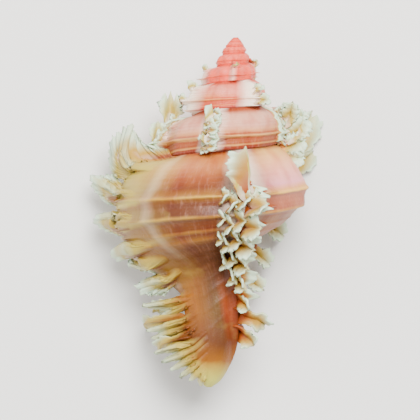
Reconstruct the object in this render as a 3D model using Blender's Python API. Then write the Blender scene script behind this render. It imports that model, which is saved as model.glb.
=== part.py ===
"""Murex shell, one closed solid, lying with its mouth down and its apex towards +Y."""
import bpy
import bmesh
import math
from mathutils import Vector

for old in list(bpy.data.objects):
    bpy.data.objects.remove(old, do_unlink=True)

MM = 0.001

# Overall size, in millimetres. Heights run from the apex down the coiling axis.
SHELL_LENGTH = 77.0
AXIS_ABOVE_FLOOR = 17.2
APEX_FORWARD = 38.325
AXIS_TO_RIGHT = 4.27

# Coiling. An angle of growth is counted in degrees back from the last lip.
GROWTH_PER_WHORL = 1.577
LIP_SCALE = 29.6
APEX_OFFSET = 0.79
LIP_AZIMUTH = -109.0
WHORLS = 6.5
ROW_STEP = 12
APEX_BLUNTNESS = 1.1

# Whorl outline: height and radius as shares of the scale, from suture to suture.
SHOULDER_RAMP = ((1.0, 0.45), (1.05, 0.53), (1.15, 0.62), (1.27, 0.705))
PERIPHERY = ((1.38, 0.765), (1.46, 0.75), (1.545, 0.762), (1.577, 0.71), (1.64, 0.66))
BASE_SHARES = ((0.0, 1.0), (0.05, 0.9), (0.1, 0.76), (0.16, 0.5), (0.21, 0.27), (0.27, 0.08),
               (0.36, 0.0))
CANAL_RADII = ((36.0, 7.6), (49.0, 6.7), (56.0, 6.1), (62.0, 5.7), (68.0, 5.2), (72.5, 3.9),
               (75.5, 2.4), (77.0, 0.9))
CANAL_TWIST_FROM = 44.0
CANAL_TWIST_DEGREES = 50.0

# Varices: growth angle of each ridge, and how far the ridge stands out.
LAST_VARICES = (0.0, 120.0, 240.0)
SPIRE_VARICES = (372.0, 444.0, 552.0, 660.0, 756.0, 864.0, 972.0, 1080.0, 1188.0, 1296.0)
RIDGE_SHARE = 0.09
LIP_RIDGE_SHARE = 0.05
SPIRE_RIDGE_SHARE = 0.11
RIDGE_TRAIL = 42.0
RIDGE_LEAD = 14.0

# Mouth: a pocket that follows the inside of the last half whorl.
MOUTH_CENTRE = (1.42, 0.43)
MOUTH_HALF_HEIGHT = 0.30
MOUTH_HALF_WIDTH = 0.225
MOUTH_DEPTH_DEGREES = 150.0
SLIT_WIDTH = 1.1
SLIT_AZIMUTH = -168.0

# Fronds: (height of root, height of tip, reach of tip from the axis, azimuth of tip, width).
LIP_FRONDS = (
    (31.6, 24.0, 17.8, -98.0, 4.4),
    (34.4, 22.0, 23.6, -103.0, 9.8),
    (37.2, 34.7, 30.2, -108.0, 5.8),
    (42.2, 42.3, 28.7, -108.0, 4.8),
    (47.2, 50.8, 24.1, -107.0, 4.6),
    (50.8, 53.2, 20.2, -118.0, 3.4),
    (53.6, 58.0, 18.0, -102.0, 4.6),
    (59.0, 61.6, 16.2, -97.0, 3.6),
    (63.6, 66.8, 14.9, -92.0, 3.6),
    (67.2, 71.6, 12.7, -82.0, 3.8),
    (68.2, 75.6, 8.9, -62.0, 5.4),
)
LIP_UNDER_FRONDS = (
    (34.0, 33.0, 27.4, -130.5, 5.6),
    (41.0, 42.0, 25.0, -128.0, 4.4),
    (59.0, 62.0, 17.0, -126.0, 3.2),
    (62.5, 66.0, 21.9, -143.5, 4.0),
)
MIDDLE_FRONDS = (
    (32.0, 24.4, 24.9, 7.0, 5.6),
    (36.6, 36.4, 26.6, 6.0, 5.2),
    (41.0, 41.8, 24.8, 4.0, 4.6),
    (44.8, 46.4, 20.6, 7.0, 4.2),
    (48.4, 50.4, 16.4, 12.0, 4.0),
    (52.8, 55.4, 13.4, 20.0, 4.0),
    (57.2, 59.6, 12.0, 36.0, 4.0),
    (61.0, 62.4, 11.6, 80.0, 4.2),
    (65.0, 67.4, 9.8, 66.0, 4.2),
)
RIGHT_FRONDS = (
    (26.5, 14.4, 23.4, 129.0, 7.4),
    (28.0, 23.4, 26.7, 131.0, 4.4),
    (34.0, 33.6, 22.4, 131.0, 4.2),
    (40.2, 43.6, 18.4, 129.0, 4.4),
    (46.4, 50.0, 15.0, 129.0, 3.8),
    (52.0, 55.4, 12.8, 124.0, 3.8),
)
SPIRE_FRONDS = (
    (372.0, 21.0, 12.9, 12.8, -100.0, 6.0),
    (372.0, 25.0, 19.8, 15.9, -102.0, 4.8),
    (444.0, 18.6, 14.6, 12.8, -34.0, 3.6),
    (444.0, 22.6, 21.9, 15.6, -34.0, 3.6),
    (552.0, 19.2, 13.7, 14.4, 76.0, 4.8),
    (552.0, 21.4, 16.0, 16.6, 82.0, 4.4),
    (660.0, 15.0, 12.4, 12.0, 190.0, 3.6),
    (756.0, 12.2, 10.4, 8.4, -72.0, 3.0),
    (756.0, 14.8, 14.0, 10.2, -72.0, 2.8),
    (864.0, 11.6, 10.2, 9.6, 44.0, 3.2),
    (864.0, 13.6, 13.0, 10.8, 52.0, 3.2),
    (972.0, 8.8, 7.6, 7.4, 145.0, 2.4),
    (1080.0, 7.8, 6.8, 5.8, -100.0, 2.2),
    (1188.0, 6.4, 5.6, 5.4, 6.0, 1.9),
    (1296.0, 5.4, 4.7, 5.0, 100.0, 1.7),
)
FROND_THICKNESS = 0.85
FROND_FOOT_THICKNESS = 3.2
FROND_BURY = 2.2
FAN_WIDTH = 8.0


def between(value, knots):
    """Straight-line value between knots, held at both ends."""
    if value <= knots[0][0]:
        return knots[0][1]
    for low, high in zip(knots, knots[1:]):
        if value <= high[0]:
            share = (value - low[0]) / (high[0] - low[0])
            return low[1] + (high[1] - low[1]) * share
    return knots[-1][1]


def scale_at(growth):
    return LIP_SCALE * GROWTH_PER_WHORL ** (-growth / 360.0)


def plain_radius(growth, height):
    """Radius of the whorl wall without its ridges."""
    scale = scale_at(growth)
    share = (height + APEX_OFFSET) / scale
    outline = SHOULDER_RAMP + PERIPHERY
    blunt = APEX_BLUNTNESS * math.exp(-height / 4.0)
    if share <= outline[-1][0]:
        return scale * between(share, outline) + blunt
    canal = between(height, CANAL_RADII)
    full = scale * outline[-1][1]
    return canal + max(full - canal, 0.0) * between(share - outline[-1][0], BASE_SHARES)


def ridge(growth, height, varices):
    """Extra radius of the nearest varix: a long slope behind it and a short one before it."""
    extra = 0.0
    for varix in varices:
        away = growth - varix
        if 0.0 <= away < RIDGE_TRAIL:
            extra = max(extra, (1.0 - away / RIDGE_TRAIL) ** 1.6)
        if -RIDGE_LEAD < away < 0.0:
            extra = max(extra, 1.0 + away / RIDGE_LEAD)
    share = between(growth, ((40.0, LIP_RIDGE_SHARE), (60.0, RIDGE_SHARE), (300.0, RIDGE_SHARE),
                             (350.0, LIP_RIDGE_SHARE), (400.0, LIP_RIDGE_SHARE),
                             (430.0, SPIRE_RIDGE_SHARE)))
    fade = between(height, ((48.0, 1.0), (66.0, 0.35), (SHELL_LENGTH, 0.0)))
    return extra * fade * share * scale_at(growth)


def wall_radius(growth, height):
    """Radius of the outer wall, with the face of the mouth just past the lip."""
    varices = LAST_VARICES + SPIRE_VARICES
    radius = plain_radius(growth, height) + ridge(growth, height, varices)
    past_lip = 360.0 - growth
    lip_top = scale_at(0.0) - APEX_OFFSET
    if 0.0 < past_lip < 60.0 and height > lip_top:
        lip = plain_radius(0.0, height) + ridge(0.0, height, varices)
        share = between(past_lip, ((0.0, 1.0), (12.0, 0.95), (22.0, 0.84), (40.0, 0.62), (60.0, 0.0)))
        radius = max(radius, lip * share)
    return radius


def twist_at(height):
    past = max(height - CANAL_TWIST_FROM, 0.0) / 22.0
    return CANAL_TWIST_DEGREES * min(past, 1.5) ** 1.3


def place(radius, azimuth, height):
    """World point from distance to the axis, azimuth in degrees and height below the apex."""
    angle = math.radians(azimuth)
    x = AXIS_TO_RIGHT + radius * math.sin(angle)
    y = APEX_FORWARD - height
    z = AXIS_ABOVE_FLOOR + radius * math.cos(angle)
    return Vector((x, y, z)) * MM


def wall_point(growth, height):
    azimuth = LIP_AZIMUTH + growth + twist_at(height)
    return place(wall_radius(growth, height), azimuth, height)


def new_part(name, mesh_data, collection):
    mesh = bpy.data.meshes.new(name)
    mesh_data.to_mesh(mesh)
    mesh_data.free()
    part = bpy.data.objects.new(name, mesh)
    collection.objects.link(part)
    return part


def lofted(name, rings, collection):
    """Closed loft through rings of equal count, with flat ends."""
    mesh_data = bmesh.new()
    rows = []
    for ring in rings:
        rows.append([mesh_data.verts.new(point) for point in ring])
    count = len(rows[0])
    for low, high in zip(rows, rows[1:]):
        for k in range(count):
            after = (k + 1) % count
            mesh_data.faces.new((low[k], low[after], high[after], high[k]))
    mesh_data.faces.new(list(reversed(rows[0])))
    mesh_data.faces.new(rows[-1])
    bmesh.ops.recalc_face_normals(mesh_data, faces=mesh_data.faces)
    bmesh.ops.triangulate(mesh_data, faces=mesh_data.faces)
    return new_part(name, mesh_data, collection)


def zipped(mesh_data, left, right):
    """Triangles between two open rows that share their first and last points or lie side by side."""
    i = 0
    j = 0
    while i < len(left) - 1 or j < len(right) - 1:
        if j == len(right) - 1:
            step_left = True
        elif i == len(left) - 1:
            step_left = False
        else:
            step_left = left[i + 1].co.y > right[j + 1].co.y
        if step_left:
            corners = (left[i], left[i + 1], right[j])
            i += 1
        else:
            corners = (left[i], right[j + 1], right[j])
            j += 1
        if len(set(corners)) == 3:
            mesh_data.faces.new(corners)


def whorl_wall(collection):
    """Outer wall: rows across the whorl, each whorl's lower edge shared with the next one's top."""
    mesh_data = bmesh.new()
    outline = SHOULDER_RAMP + PERIPHERY
    spire_shares = [knot[0] for knot in outline if knot[0] < GROWTH_PER_WHORL - 0.001]
    turn = 360 // ROW_STEP
    last_row = int(WHORLS * turn)
    tip = mesh_data.verts.new(place(0.0, 0.0, SHELL_LENGTH))
    rows = {}
    for row in range(turn):
        growth = row * ROW_STEP
        scale = scale_at(growth)
        heights = [knot[0] * scale - APEX_OFFSET for knot in outline]
        top = heights[-1]
        for share in (0.05, 0.1, 0.155, 0.21, 0.275, 0.36, 0.46, 0.58, 0.7, 0.82, 0.92, 0.98):
            heights.append(top + (SHELL_LENGTH - top) * share)
        points = [mesh_data.verts.new(wall_point(growth, height)) for height in heights]
        rows[row] = points + [tip]
    for row in range(turn, last_row + 1):
        growth = row * ROW_STEP
        scale = scale_at(growth)
        points = []
        for share in spire_shares:
            points.append(mesh_data.verts.new(wall_point(growth, share * scale - APEX_OFFSET)))
        rows[row] = points + [rows[row - turn][0]]
    rows[turn] = rows[turn] + rows[0][1:]
    for row in range(last_row):
        if row == turn - 1:
            zipped(mesh_data, rows[row], rows[row + 1])
        elif row == turn:
            shorter = rows[turn][:len(spire_shares) + 1]
            zipped(mesh_data, shorter, rows[row + 1])
        else:
            zipped(mesh_data, rows[row], rows[row + 1])
    apex = mesh_data.verts.new(place(0.0, 0.0, -0.35))
    top_edge = [rows[row][0] for row in range(last_row - turn, last_row + 1)]
    for near, far in zip(top_edge, top_edge[1:]):
        mesh_data.faces.new((near, far, apex))
    end_row = rows[last_row]
    for near, far in zip(end_row, end_row[1:]):
        mesh_data.faces.new((near, far, apex))
    bmesh.ops.recalc_face_normals(mesh_data, faces=mesh_data.faces)
    return new_part("murex_shell", mesh_data, collection)


def mouth_pocket(collection):
    """Horn-shaped pocket that starts in the open air below the lip and follows the last whorl."""
    rings = []
    sides = 12
    for growth in range(-60, int(MOUTH_DEPTH_DEGREES) + 1, 21):
        scale = scale_at(max(growth, -20.0))
        depth = max(growth - MOUTH_DEPTH_DEGREES + 30.0, 0.0) / 30.0
        size = math.sqrt(max(1.0 - depth * depth, 0.04))
        outside = max(-growth - 10.0, 0.0) / 50.0
        centre_r = scale * MOUTH_CENTRE[1] * (1.0 + 0.35 * outside)
        centre_h = scale * MOUTH_CENTRE[0] - APEX_OFFSET
        ring = []
        for k in range(sides):
            turn = 2.0 * math.pi * k / sides
            height = centre_h + scale * MOUTH_HALF_HEIGHT * size * math.sin(turn)
            radius = centre_r + scale * MOUTH_HALF_WIDTH * size * math.cos(turn)
            ring.append(place(radius, LIP_AZIMUTH + growth, height))
        rings.append(ring)
    return lofted("mouth_pocket", rings, collection)


def canal_slit(collection):
    """Narrow open slit down the underside of the canal."""
    rings = []
    for height in (47.0, 52.0, 58.0, 64.0, 70.0, 74.5, 79.0):
        azimuth = SLIT_AZIMUTH + 0.25 * twist_at(height)
        outer = between(height, CANAL_RADII) + 7.0
        inner = 0.45 * between(height, CANAL_RADII)
        side = math.degrees(SLIT_WIDTH * 0.5 / inner)
        edge = math.degrees(SLIT_WIDTH * 0.5 / outer)
        rings.append((
            place(inner, azimuth - side, height),
            place(outer, azimuth - edge, height),
            place(outer, azimuth + edge, height),
            place(inner, azimuth + side, height),
        ))
    return lofted("canal_slit", rings, collection)


def frond(name, root, tip, back, width, collection):
    """Hollow-fronted frond from root to tip: broad foot, toothed edges, open side away from its back."""
    length = (tip - root).length
    middle = root.lerp(tip, 0.5)
    radial = Vector((root.x - AXIS_TO_RIGHT * MM, 0.0, root.z - AXIS_ABOVE_FLOOR * MM)).normalized()
    bend = middle + radial * length * 0.16
    rings = []
    stations = 4
    if width > 2.9:
        stations = 6
    if width > 5.0:
        stations = 8
    outline = ((0.0, 1.5), (0.25, 1.0), (0.7, 0.86), (1.0, 0.36))
    if width > FAN_WIDTH:
        outline = ((0.0, 1.1), (0.3, 0.8), (0.6, 1.0), (0.85, 0.7), (1.0, 0.25))
    for k in range(stations):
        share = k / (stations - 1)
        centre = root.lerp(bend, share).lerp(bend.lerp(tip, share), share)
        along = (bend - root).lerp(tip - bend, share).normalized()
        rise = (back - along * back.dot(along)).normalized()
        across = along.cross(rise)
        tooth = 1.16 if k % 2 else 0.86
        half = 0.5 * width * MM * between(share, outline) * tooth
        foot = min(FROND_FOOT_THICKNESS, 0.6 * width) * (1.0 - share) ** 2.2
        thick = (foot + FROND_THICKNESS * (1.0 - 0.35 * share)) * MM
        sag = half * 0.42
        rings.append((
            centre - across * half - rise * sag,
            centre - across * half * 0.5 + rise * thick * 0.5,
            centre + across * half * 0.5 + rise * thick * 0.5,
            centre + across * half - rise * sag,
            centre + across * half * 0.42 - rise * thick * 0.5,
            centre - across * half * 0.42 - rise * thick * 0.5,
        ))
    return lofted(name, rings, collection)


def row_of_fronds(name, varix, fronds, collection):
    made = []
    for number, (root_h, tip_h, reach, azimuth, width) in enumerate(fronds, start=1):
        foot_azimuth = LIP_AZIMUTH + varix + twist_at(root_h)
        radius = wall_radius(varix, root_h) - FROND_BURY
        turned = 0.35 * ((azimuth - foot_azimuth + 180.0) % 360.0 - 180.0)
        root = place(radius, foot_azimuth + turned, root_h)
        tip = place(reach, azimuth, tip_h)
        angle = math.radians(foot_azimuth)
        back = Vector((math.cos(angle), 0.0, -math.sin(angle)))
        made.append(frond(name + "_" + str(number), root, tip, back, width, collection))
    return made


def boolean(part, operation, operand, name):
    cut = part.modifiers.new(name, "BOOLEAN")
    cut.operation = operation
    cut.solver = "EXACT"
    if isinstance(operand, bpy.types.Collection):
        cut.operand_type = "COLLECTION"
        cut.collection = operand
    else:
        cut.object = operand
    return cut


def hide(parts):
    for part in parts:
        part.hide_render = True
        part.display_type = "WIRE"


def main():
    root_collection = bpy.context.scene.collection
    shells = bpy.data.collections.new("murex shell")
    helpers = bpy.data.collections.new("murex shell cutters")
    fronds = bpy.data.collections.new("murex shell fronds")
    for collection in (shells, helpers, fronds):
        root_collection.children.link(collection)

    shell = whorl_wall(shells)
    pocket = mouth_pocket(helpers)
    slit = canal_slit(helpers)
    made = []
    made += row_of_fronds("lip_frond", 0.0, LIP_FRONDS, fronds)
    made += row_of_fronds("lip_under_frond", 0.0, LIP_UNDER_FRONDS, fronds)
    made += row_of_fronds("middle_frond", 120.0, MIDDLE_FRONDS, fronds)
    made += row_of_fronds("right_frond", 240.0, RIGHT_FRONDS, fronds)
    for number, spec in enumerate(SPIRE_FRONDS, start=1):
        made += row_of_fronds("spire_frond_" + str(number), spec[0], (spec[1:],), fronds)

    mesh_data = bmesh.new()
    bmesh.ops.create_cube(mesh_data, size=1.0)
    bmesh.ops.scale(mesh_data, vec=(0.2, 0.2, 0.05), verts=mesh_data.verts)
    bmesh.ops.translate(mesh_data, vec=(0.0, 0.0, -0.025), verts=mesh_data.verts)
    floor_plane = new_part("floor_plane", mesh_data, helpers)

    boolean(shell, "UNION", fronds, "fronds grown on")
    boolean(shell, "DIFFERENCE", pocket, "mouth")
    boolean(shell, "DIFFERENCE", slit, "canal slit")
    boolean(shell, "DIFFERENCE", floor_plane, "worn feet")
    hide(made + [pocket, slit, floor_plane])

    material = bpy.data.materials.new("shell_calcite")
    material.use_nodes = True
    shader = material.node_tree.nodes["Principled BSDF"]
    shader.inputs["Base Color"].default_value = (0.62, 0.33, 0.2, 1.0)
    shader.inputs["Roughness"].default_value = 0.38
    shell.data.materials.append(material)
    for part in made + [pocket, slit, floor_plane]:
        part.data.materials.append(material)
    for face in shell.data.polygons:
        face.use_smooth = True


main()
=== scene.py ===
import bpy
import bmesh
import math
import numpy as np
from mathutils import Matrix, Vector, noise


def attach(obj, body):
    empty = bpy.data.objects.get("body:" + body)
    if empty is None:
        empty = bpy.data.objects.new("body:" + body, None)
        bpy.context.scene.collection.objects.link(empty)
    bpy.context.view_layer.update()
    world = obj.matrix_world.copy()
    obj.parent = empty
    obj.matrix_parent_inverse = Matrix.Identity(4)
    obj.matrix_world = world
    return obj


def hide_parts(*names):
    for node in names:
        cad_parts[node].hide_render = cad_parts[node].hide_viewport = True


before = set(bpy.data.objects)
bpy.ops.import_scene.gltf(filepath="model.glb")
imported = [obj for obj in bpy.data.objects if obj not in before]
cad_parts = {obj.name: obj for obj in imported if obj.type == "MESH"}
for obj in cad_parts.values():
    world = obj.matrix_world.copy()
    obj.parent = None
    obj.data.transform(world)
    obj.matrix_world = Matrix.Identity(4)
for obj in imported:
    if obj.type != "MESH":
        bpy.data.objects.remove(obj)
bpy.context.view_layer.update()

mm = 0.001

# the coil that everything grows on
coil = {
    "length": 77.0,  # apex to the end of the canal, mm
    "axisHeight": 17.2,  # coiling axis above the floor, mm
    "apexForward": 38.325,  # world Y of the apex, mm
    "axisRight": 4.27,  # world X of the axis, mm
    "growthPerWhorl": 1.577,
    "lipScale": 29.6,  # scale of the last section, mm
    "apexOffset": 0.79,
    "lipAzimuth": -109.0,  # degrees, 0 faces up, +90 faces right
    "whorls": 8.5,
    "twistFrom": 44.0, "twistOver": 22.0,  # the canal turns over these mm
    "twist": 50.0,  # degrees
}

wall = {
    "growthStep": 2.5,  # degrees between rows
    "bandColumns": 56,  # columns across one whorl of the spire
    "baseColumns": 92,  # columns from the last suture line down to the tip of the canal
    "outline": ((1.0, 0.45), (1.04, 0.505), (1.09, 0.57), (1.15, 0.623), (1.27, 0.706), (1.375, 0.762),
                (1.46, 0.752), (1.545, 0.757), (1.577, 0.7097), (1.64, 0.66)),
    "spireOutline": ((1.0, 0.45), (1.03, 0.475), (1.07, 0.56), (1.12, 0.635), (1.20, 0.70), (1.29, 0.735),
                     (1.38, 0.755), (1.46, 0.750), (1.53, 0.742), (1.577, 0.7097)),
    "baseShares": ((0.0, 1.0), (0.05, 0.9), (0.1, 0.76), (0.16, 0.5), (0.21, 0.27), (0.27, 0.08), (0.36, 0.0)),
    "canalRadii": ((36.0, 7.6), (49.0, 6.7), (56.0, 6.1), (62.0, 5.7), (68.0, 5.1), (72.5, 3.8), (75.5, 2.3),
                   (77, 0.6)),
    "lastVarices": (0.0, 122.0, 240.0),
    "spireVarices": (372.0, 452.0, 556.0, 660.0, 756.0, 864.0, 972.0, 1080.0, 1188.0, 1296.0),
    "ribs": (62.0, 184.0, 300.0, 408.0, 504.0, 608.0, 708.0, 810.0, 918.0, 1026.0),
    "ridgeTrail": 44.0,  # degrees behind a varix that its slope takes
    "ridgeLead": 15.0,  # degrees before it
}

cords = (  # share of the whorl, height in mm on the last whorl, half width as a share
    (1.065, 0.10, 0.008), (1.10, 0.08, 0.007), (1.135, 0.10, 0.008), (1.175, 0.08, 0.007), (1.215, 0.12, 0.008),
    (1.26, 0.08, 0.007), (1.31, 0.10, 0.008), (1.385, 0.62, 0.017), (1.418, 0.07, 0.006), (1.44, 0.16, 0.006),
    (1.462, 0.08, 0.005), (1.483, 0.16, 0.006), (1.505, 0.08, 0.005), (1.525, 0.14, 0.006), (1.558, 0.50, 0.015),
    (1.60, 0.12, 0.007), (1.632, 0.10, 0.006), (1.668, 0.32, 0.010), (1.70, 0.10, 0.007), (1.735, 0.30, 0.010),
    (1.775, 0.12, 0.008), (1.815, 0.26, 0.011), (1.87, 0.14, 0.009), (1.93, 0.24, 0.013), (2.01, 0.16, 0.012),
    (2.10, 0.20, 0.015), (2.22, 0.16, 0.015), (2.36, 0.14, 0.015),
)


def between(value, knots):  # straight lines between knots, held at both ends
    if value <= knots[0][0]:
        return knots[0][1]
    for low, high in zip(knots, knots[1:]):
        if value <= high[0]:
            return low[1] + (high[1] - low[1]) * (value - low[0]) / (high[0] - low[0])
    return knots[-1][1]


def smooth(value, knots):  # a soft curve through the same kind of knots
    if value <= knots[0][0]:
        return knots[0][1]
    for i in range(len(knots) - 1):
        (x0, y0), (x1, y1) = knots[i], knots[i + 1]
        if value <= x1:
            step = x1 - x0
            before = knots[i - 1] if i else (x0 - step, 2 * y0 - y1)
            after = knots[i + 2] if i + 2 < len(knots) else (x1 + step, 2 * y1 - y0)
            slopeIn = (y1 - before[1]) / (x1 - before[0]) * step
            slopeOut = (after[1] - y0) / (after[0] - x0) * step
            t = (value - x0) / step
            return ((2 * t ** 3 - 3 * t * t + 1) * y0 + (t ** 3 - 2 * t * t + t) * slopeIn
                    + (3 * t * t - 2 * t ** 3) * y1 + (t ** 3 - t * t) * slopeOut)
    return knots[-1][1]


def scaleAt(growth):
    return coil["lipScale"] * coil["growthPerWhorl"] ** (-growth / 360.0)


def shareAt(growth, height):
    return (height + coil["apexOffset"]) / scaleAt(growth)


def heightAt(growth, share):
    return share * scaleAt(growth) - coil["apexOffset"]


def twistAt(height):  # the canal turns as it grows
    return coil["twist"] * min(max(height - coil["twistFrom"], 0.0) / coil["twistOver"], 1.5) ** 1.3


def place(radius, azimuth, height):
    angle = math.radians(azimuth)
    return Vector((coil["axisRight"] + radius * math.sin(angle),
                   coil["apexForward"] - height,
                   coil["axisHeight"] + radius * math.cos(angle))) * mm


def azimuthAt(growth, height):
    return coil["lipAzimuth"] + growth + twistAt(height)


def plainRadius(growth, height):
    scale = scaleAt(growth)
    share = shareAt(growth, height)
    blunt = 1.1 * math.exp(-height / 4.0)
    if share <= wall["outline"][-1][0]:
        onSpire = between(growth, ((250, 0), (400, 1)))
        radius = scale * (smooth(share, wall["outline"]) * (1.0 - onSpire)
                          + smooth(share, wall["spireOutline"]) * onSpire) + blunt
        return min(radius, 1.08 * max(height + 0.5, 0.01) ** 0.75 + 0.12 * max(height - 2.0, 0.0) ** 2)
    canal = smooth(height, wall["canalRadii"])
    full = scale * wall["outline"][-1][1]
    return canal + max(full - canal, 0.0) * smooth(share - wall["outline"][-1][0], wall["baseShares"])


def varixAway(growth):  # degrees to the nearest varix on whose slopes this lies
    aways = [growth - varix for varix in wall["lastVarices"] + wall["spireVarices"]]
    return min((away for away in aways if -wall["ridgeLead"] < away < wall["ridgeTrail"]), key=abs, default=999.0)


def ridgeShape(away):  # 1 on the crest, a long slope behind it and a hollow face before it
    if away >= wall["ridgeTrail"] or away <= -wall["ridgeLead"]:
        return 0.0
    if away >= 0.0:
        return (1.0 - away / wall["ridgeTrail"]) ** 1.7
    return (1.0 + away / wall["ridgeLead"]) ** 2.2


def shoulderSwell(growth, share):  # the lip flange stands out over its shoulder
    if growth >= 60.0:
        return 0.0
    return 0.13 * scaleAt(growth) * (1.0 - growth / 60) ** 0.8 * between(
        share, ((1, 0), (1.04, 0.75), (1.09, 1), (1.18, 0.8), (1.30, 0.35), (1.40, 0)))


def wallRadius(growth, height):
    scale = scaleAt(growth)
    share = shareAt(growth, height)
    size = scale / coil["lipScale"]
    fade = between(height, ((48, 1), (66, 0.35), (77, 0)))
    radius = plainRadius(growth, height)
    crest = ridgeShape(varixAway(growth))
    swell = between(growth, ((40, 0.05), (60, 0.09), (300, 0.09), (350, 0.05), (400, 0.05), (430, 0.10),
                             (700, 0.10), (740, 0.17)))
    bandFade = between(share, ((1, 0), (1.06, 0.75), (1.2, 1), (2.6, 1)))
    radius += crest * fade * swell * scale * bandFade
    for rib in wall["ribs"]:  # low knobs between the varices
        off = (growth - rib) / 9.0
        if abs(off) < 3.0:
            radius += 0.030 * scale * math.exp(-off * off) * between(
                share, ((1.02, 0), (1.2, 0.8), (1.36, 1), (1.56, 0.55), (1.75, 0)))
    if growth > 760.0:
        node = math.cos(math.radians(growth * 9)) * between(growth, ((760, 0), (1100, 1)))
        radius += 0.035 * scale * node * between(share, ((1.05, 0), (1.2, 1), (1.45, 1), (1.577, 0)))
    lift = share * (1.0 + 0.05 * max(1.0 - growth / 60.0, 0.0)) if growth < 360.0 else share
    onSpire = between(growth, ((320, 0), (400, 1)))
    strength = (1.0 + (1.4 + 1.6 * onSpire) * crest) * (0.45 + 0.55 * fade) * (1.0 + 0.5 * onSpire)
    turned = azimuthAt(growth, height) % 360.0
    flat = (0.085 if growth < 450.0 else 0.05) * onSpire * math.exp(-((turned - 275.0) / 38.0) ** 2)
    radius *= 1.0 - flat * between(height, ((6, 0), (12, 1)))  # the spire is flatter on its left
    radius += shoulderSwell(growth, share)
    for middle, high, half in cords:
        off = (lift - middle) / half
        if abs(off) < 3.2:
            radius += high * strength * size ** 0.7 * math.exp(-off * off)
    pastLip = 360.0 - growth
    lipTop = heightAt(0.0, 1.0)
    if 0.0 < pastLip < 60.0 and height > lipTop:
        lip = plainRadius(0.0, height) + 0.05 * scaleAt(0.0) * fade + shoulderSwell(0.0, shareAt(0.0, height))
        face = between(pastLip, ((0, 1), (12, 0.95), (22, 0.84), (40, 0.62), (60, 0)))
        radius = max(radius, lip * face)
    wobble = noise.noise(Vector((growth * 0.05, share * 6.0, 3.1)))
    return radius + 0.14 * size * wobble


def wallPoint(growth, height):
    return place(wallRadius(growth, height), azimuthAt(growth, height), height)


# helpers for meshes
def gridMesh(columns, rows):  # a bmesh sheet whose points carry their place in the grid, 0 to 1 each way
    sheet = bmesh.new()
    sheet.verts.layers.float.new("tip")
    made = bmesh.ops.create_grid(sheet, x_segments=columns, y_segments=rows, size=0.5)
    return sheet, [(vert, vert.co.x + 0.5, vert.co.y + 0.5) for vert in made["verts"]]


def thicken(sheet, amount):  # a sheet gets an even wall without spikes in its folds
    bmesh.ops.recalc_face_normals(sheet, faces=sheet.faces)
    sheet.normal_update()
    outer = list(sheet.verts)
    bmesh.ops.extrude_face_region(sheet, geom=list(sheet.faces) + list(sheet.edges), use_keep_orig=True)
    for vert in outer:
        vert.co += vert.normal * amount
    bmesh.ops.recalc_face_normals(sheet, faces=sheet.faces)


def closeUp(sheet):  # doubles merged, holes filled, faces outwards
    bmesh.ops.remove_doubles(sheet, verts=sheet.verts, dist=0.001 * mm)
    bmesh.ops.holes_fill(sheet, edges=[edge for edge in sheet.edges if edge.is_boundary], sides=0)
    bmesh.ops.recalc_face_normals(sheet, faces=sheet.faces)
    return sheet


def markHollow(sheet, strength):  # strength of the hollow's colour, and its loss at the tips
    tipMark = sheet.verts.layers.float["tip"]
    inside = sheet.loops.layers.float.new("hollow")
    for face in sheet.faces:
        amount, loss = strength(face)
        for loop in face.loops:
            loop[inside] = amount * max(1.0 - loss * loop.vert[tipMark], 0.0)


def toMesh(name, sheet):
    mesh = bpy.data.meshes.new(name)
    sheet.to_mesh(mesh)
    sheet.free()
    return mesh


def addObject(name, data):
    thing = bpy.data.objects.new(name, data)
    bpy.context.scene.collection.objects.link(thing)
    return thing


def addSheet(target, sheet):  # one finished bmesh joins another
    passing = toMesh("passing", sheet)
    target.from_mesh(passing)
    bpy.data.meshes.remove(passing)


def whorlMarks(mesh):  # where each face corner lies on the coil, for the colour bands
    def onCoil(spots):  # height and turn, with the twist of the canal taken off
        height = coil["apexForward"] - spots[:, 1]
        azimuth = np.degrees(np.arctan2(spots[:, 0] - coil["axisRight"], spots[:, 2] - coil["axisHeight"]))
        twist = coil["twist"] * np.clip((height - coil["twistFrom"]) / coil["twistOver"], 0.0, 1.5) ** 1.3
        return height, azimuth - twist - coil["lipAzimuth"]

    points = np.empty(len(mesh.vertices) * 3)
    mesh.vertices.foreach_get("co", points)
    points = points.reshape(-1, 3) / mm
    loops, faces = len(mesh.loops), len(mesh.polygons)
    corner, starts, totals = (np.empty(count, dtype=np.int32) for count in (loops, faces, faces))
    mesh.loops.foreach_get("vertex_index", corner)
    mesh.polygons.foreach_get("loop_start", starts)
    mesh.polygons.foreach_get("loop_total", totals)
    owner = np.repeat(np.arange(faces), totals)
    faceHeight, faceTurn = onCoil(np.add.reduceat(points[corner], starts, axis=0) / totals[:, None])
    beforeLip = 25.0  # degrees in front of the lip that still count as the last whorl
    faceTurn = np.mod(faceTurn + beforeLip, 360.0) - beforeLip
    grown = faceTurn.copy()
    for turn in range(1, 8):
        grown = np.where(shareAt(grown, faceHeight) < 1.0, faceTurn + 360.0 * turn, grown)
    height, turned = onCoil(points)
    growth = turned[corner] + 360.0 * np.round((grown[owner] - turned[corner]) / 360.0)
    crest = np.zeros(loops)
    for varix in wall["lastVarices"] + wall["spireVarices"]:
        away = growth - varix
        wide = 1.7 if 700.0 < varix < 1100.0 else 1.0
        behind = np.clip(1.0 - away / (0.6 * wide * wall["ridgeTrail"]), 0.0, 1.0) ** 1.5
        before = np.clip(1.0 + away / (1.5 * wide * wall["ridgeLead"]), 0.0, 1.0)
        strength = 0.6 if varix > 1150.0 else 1.0
        crest = np.maximum(crest, np.where(away >= 0.0, behind, before) * strength)
    marks = {"growth": growth / 360.0, "share": shareAt(growth, height[corner]), "crest": crest}
    for name, values in marks.items():
        mesh.attributes.new(name, "FLOAT", "CORNER").data.foreach_set("value", values.astype(np.float32))


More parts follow.
